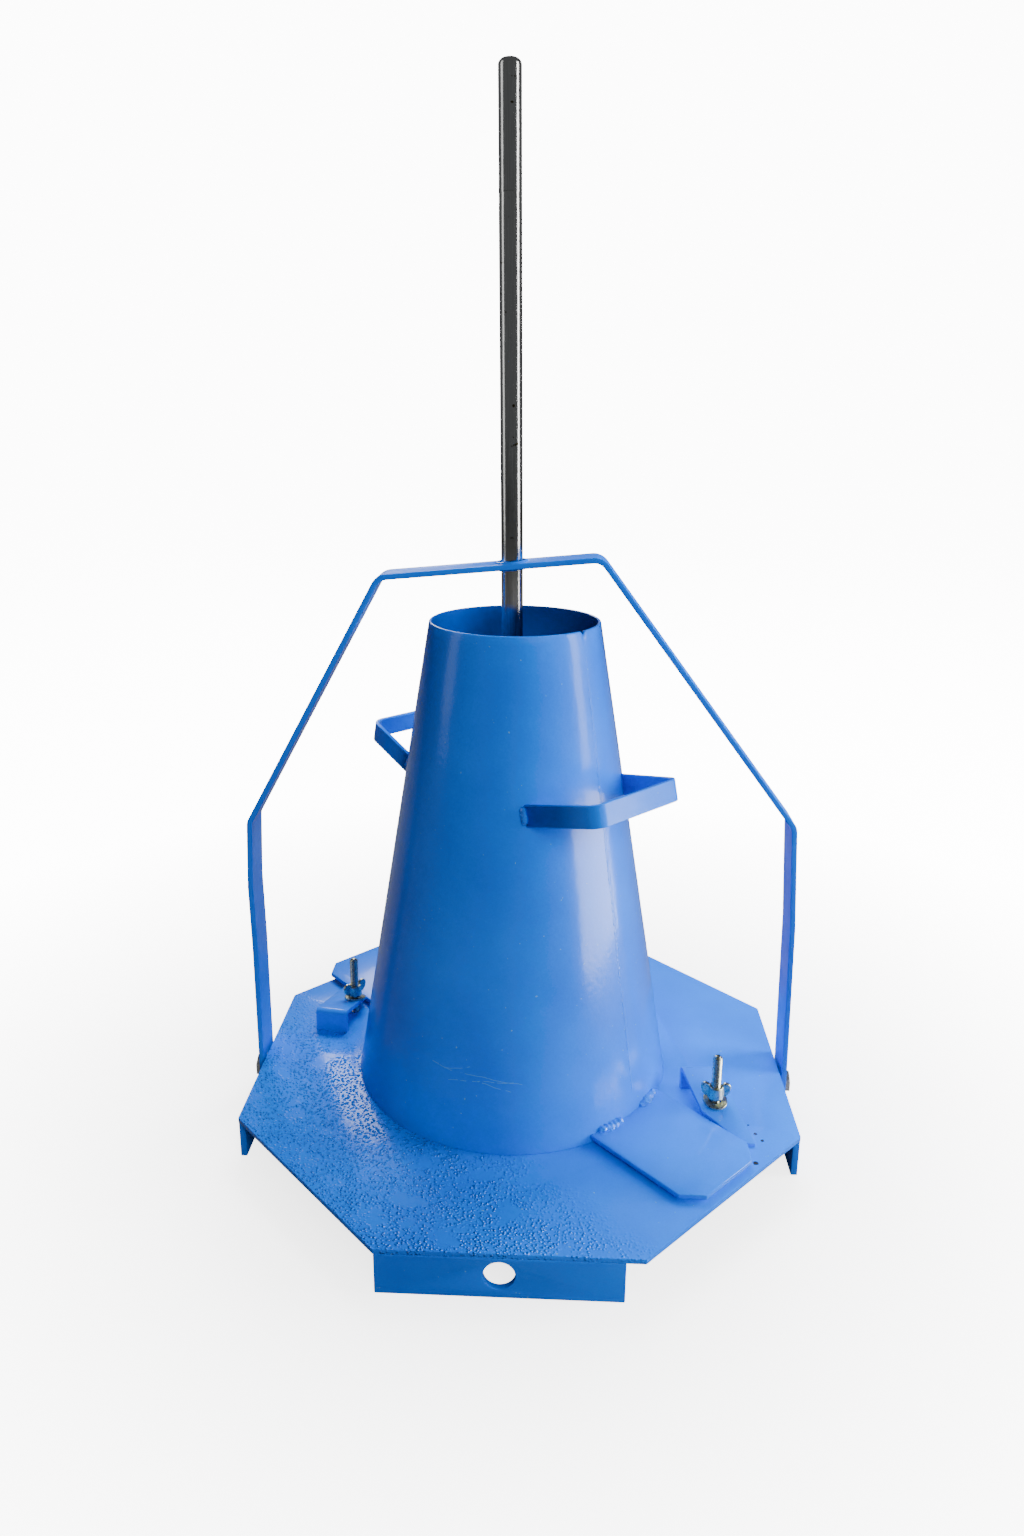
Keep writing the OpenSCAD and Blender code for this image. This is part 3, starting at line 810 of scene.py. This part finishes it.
def rod_piece(eye):
    ends = [(ROD_R - ROD_ROUND_R * (1 - math.sin(a)), ROD_ROUND_R * (1 - math.cos(a)))
            for a in [math.radians(d) for d in range(0, 91, 9)]]
    clear = ROD_ROUND_R + 0.5
    steps = 40
    rows = [(ROD_R, clear + (ROD_LEN - 2 * clear) * i / steps) for i in range(steps + 1)]
    rows += [(ROD_R, RING_Z - RING_HALF), (ROD_R - RING_CUT, RING_Z), (ROD_R, RING_Z + RING_HALF)]
    rows.sort(key=lambda row: row[1])
    profile = [(0, 0), *ends, *rows, *[(r, ROD_LEN - z) for r, z in reversed(ends)], (0, ROD_LEN)]
    lean = Matrix.Rotation(math.radians(-ROD_LEAN), 4, "Y")
    at = Matrix.Translation(eye) @ lean @ Matrix.Translation((0, 0, ROD_GAP - (eye.z - DECK)))
    piece("rod", placed(lathe(profile, 64), at), polished, "tamping_rod")


def strap_top():
    """Height of a strap's upper face above the plate at its bolt."""
    half = STRAP_T / 2
    return (STRAP_H - (LEG_BACK - half) * math.tan(STRAP_SLOPE)
            + half * (1 / math.cos(STRAP_SLOPE) - 1))


def clamp_pieces():
    studs = []
    for which, clamp in CLAMPS.items():
        piece("strap_" + which, dressed("clamp_strap_" + which, 0.45), paint,
              "clamp_strap_" + which)
        x, y = clamp["bolt"]
        bolt = Matrix.Translation((x, y, DECK))
        head = placed(hexagon(HEAD_H), Matrix.Translation((0, 0, -PLATE_T - HEAD_H)))
        studs.append(placed(joined(screw(SCREW_R - 0.02, -PLATE_T, STUD_TOP), head), bolt))
        tilt = Matrix.Rotation(STRAP_SLOPE, 4, "Y")
        seat = bolt @ about_z(clamp["strap"]) @ Matrix.Translation((0, 0, strap_top() + 0.02)) @ tilt
        washer = slab(circle(0, 0, WASHER_R), [circle(0, 0, SCREW_R + 0.5)], WASHER_T, 0.3)
        piece("washer_" + which, placed(washer, seat), yellow_zinc, "clamp_washer_" + which)
        base_z = strap_top() + WASHER_T + HUB_R * math.tan(STRAP_SLOPE) + 0.2
        move = (bolt @ Matrix.Translation((0, 0, base_z)) @ about_z(clamp["wings"]))
        piece("wings_" + which, placed(wing_nut(), move), yellow_zinc, "wing_nut_" + which,
              sharp=180)
    piece("stud_pair", joined(*studs), yellow_zinc, "clamp_bolts", sharp=50)


def wing_nut():
    """A cast wing nut: tapered hub with a bore, and two ear-shaped wings."""
    bore = SCREW_R + 0.12
    neck_r = HUB_R - 0.5
    hub = lathe([(bore, 0), (HUB_R - 0.4, 0), (HUB_R, 0.5), (neck_r, HUB_H - 0.5),
                 (neck_r - 0.4, HUB_H), (bore, HUB_H)], 64, closed=True)
    low = [(WING_FOOT_X, 1.2), (WING_TIP_X, 1.2), (8.4, 3.8),
           (WING_TIP_X + WING_TIP_R, WING_TIP_Z - 0.5)]
    top = [(WING_TIP_X + WING_TIP_R * math.cos(a), WING_TIP_Z + WING_TIP_R * math.sin(a))
           for a in [math.radians(d) for d in range(0, 181, 20)]]
    ear = [*low, *top, (WING_FOOT_X, 6.2)]
    upright = Matrix.Rotation(math.pi / 2, 4, "X") @ Matrix.Translation((0, 0, -WING_T / 2))
    parts = [hub]
    for outline in ([(-x, z) for x, z in reversed(ear)], ear):
        parts.append(placed(slab(outline, [], WING_T, 0.7), upright))
    return melted(joined(*parts), 0.28, 3)


base_pieces()
pivot_pieces()
cone_piece()
foot_pieces()
handle_pieces()
rod_piece(bail_piece())
clamp_pieces()


# ---------------------------------------------------------------- studio

def studio_floor():
    bm = bmesh.new()
    bmesh.ops.create_grid(bm, x_segments=2, y_segments=2, size=6.0)
    mesh = bpy.data.meshes.new("floor")
    bm.to_mesh(mesh)
    bm.free()
    floor = bpy.data.objects.new("floor", mesh)
    bpy.context.scene.collection.objects.link(floor)
    material, tree, shader, place = new_material("pale_floor")
    tone = ramp(tree, noise_node(tree, place, 1.5), 0.0, 1.0,
                ((0.80, 0.80, 0.80, 1), (0.83, 0.83, 0.83, 1)))
    seen = tree.nodes.new("ShaderNodeLightPath").outputs["Is Camera Ray"]
    tree.links.new(mixed(tree, seen, (0.14, 0.14, 0.14, 1), tone), shader.inputs["Base Color"])
    far = add(tree, "ShaderNodeVectorMath", {0: place}, operation="LENGTH").outputs["Value"]
    fade = add(tree, "ShaderNodeMapRange", {"Value": far, "From Min": 0.15, "From Max": 0.6,
                                            "To Min": 3.0, "To Max": 12.0}).outputs[0]
    glow = math_node(tree, "MULTIPLY", seen, fade)
    shader.inputs["Emission Color"].default_value = (1, 1, 1, 1)
    tree.links.new(glow, shader.inputs["Emission Strength"])
    shader.inputs["Roughness"].default_value = 1.0
    shader.inputs["Specular IOR Level"].default_value = 0.0
    floor.data.materials.append(material)


def softbox(name, place, target, size, power, lights=True, mirrored=True):
    """A panel that lights the object, shows in its gloss, or does both."""
    light = bpy.data.lights.new(name, "AREA")
    light.shape = "RECTANGLE"
    light.size, light.size_y = size
    light.energy = power
    obj = bpy.data.objects.new(name, light)
    obj.visible_camera = False
    obj.visible_diffuse = lights
    obj.visible_glossy = mirrored
    obj.location = place
    obj.rotation_euler = (Vector(target) - Vector(place)).to_track_quat("-Z", "Y").to_euler()
    bpy.context.scene.collection.objects.link(obj)


def studio_world():
    """White behind the object for the camera, soft grey everywhere for light and reflections."""
    world = bpy.data.worlds.new("studio")
    world.use_nodes = True
    tree = world.node_tree
    tree.nodes.clear()
    seen = tree.nodes.new("ShaderNodeLightPath").outputs["Is Camera Ray"]
    white = add(tree, "ShaderNodeBackground", {"Color": (1, 1, 1, 1), "Strength": 12.0})
    grey = add(tree, "ShaderNodeBackground", {"Color": (0.93, 0.96, 1, 1), "Strength": 0.10})
    both = add(tree, "ShaderNodeMixShader", {0: seen, 1: grey.outputs[0], 2: white.outputs[0]})
    add(tree, "ShaderNodeOutputWorld", {"Surface": both.outputs[0]})
    bpy.context.scene.world = world


def photo_camera():
    """The photograph's viewpoint, worked out from the plate, the cone and the rod."""
    place = Vector((0.0186, -0.6157, 0.4449))
    yaw, pitch, roll = [math.radians(d) for d in (-2.41, 15.49, 0.36)]
    forward = Vector((math.sin(yaw) * math.cos(pitch), math.cos(yaw) * math.cos(pitch),
                      -math.sin(pitch)))
    level = Vector((math.cos(yaw), -math.sin(yaw), 0))
    above = level.cross(forward)
    right = level * math.cos(roll) + above * math.sin(roll)
    up = above * math.cos(roll) - level * math.sin(roll)
    camera = bpy.data.objects.new("camera", bpy.data.cameras.new("camera"))
    axes = Matrix((right, up, -forward)).transposed().to_4x4()
    camera.matrix_world = Matrix.Translation(place) @ axes
    camera.data.sensor_width = 36.0
    camera.data.lens = 24.415
    camera.data.shift_y = -0.0393
    camera.data.clip_start = 0.01
    bpy.context.scene.collection.objects.link(camera)
    bpy.context.scene.camera = camera


studio_floor()
studio_world()
softbox("window", (1.7, 0.05, 0.65), (0, 0, 0.2), (0.8, 0.9), 65, mirrored=False)
softbox("ceiling", (0.1, 1.2, 1.9), (0, 0, 0), (1.6, 0.8), 88, mirrored=False)
softbox("front_fill", (0.8, -1.6, 1.3), (0, 0, 0.2), (1.0, 0.8), 34, mirrored=False)
softbox("far_window", (-0.55, 1.8, 1.35), (0, 0, 0.1), (0.7, 0.9), 20, lights=False)
softbox("low_glow", (0.47, -0.10, 0.10), (0, 0, 0.12), (0.36, 0.16), 3.0, lights=False)
softbox("right_strip", (1.7, -0.2, 0.7), (0, 0, 0.4), (0.35, 1.4), 14, lights=False)
softbox("left_panel", (-1.8, -0.3, 0.9), (0, 0, 0.3), (0.5, 1.6), 4, lights=False)
photo_camera()
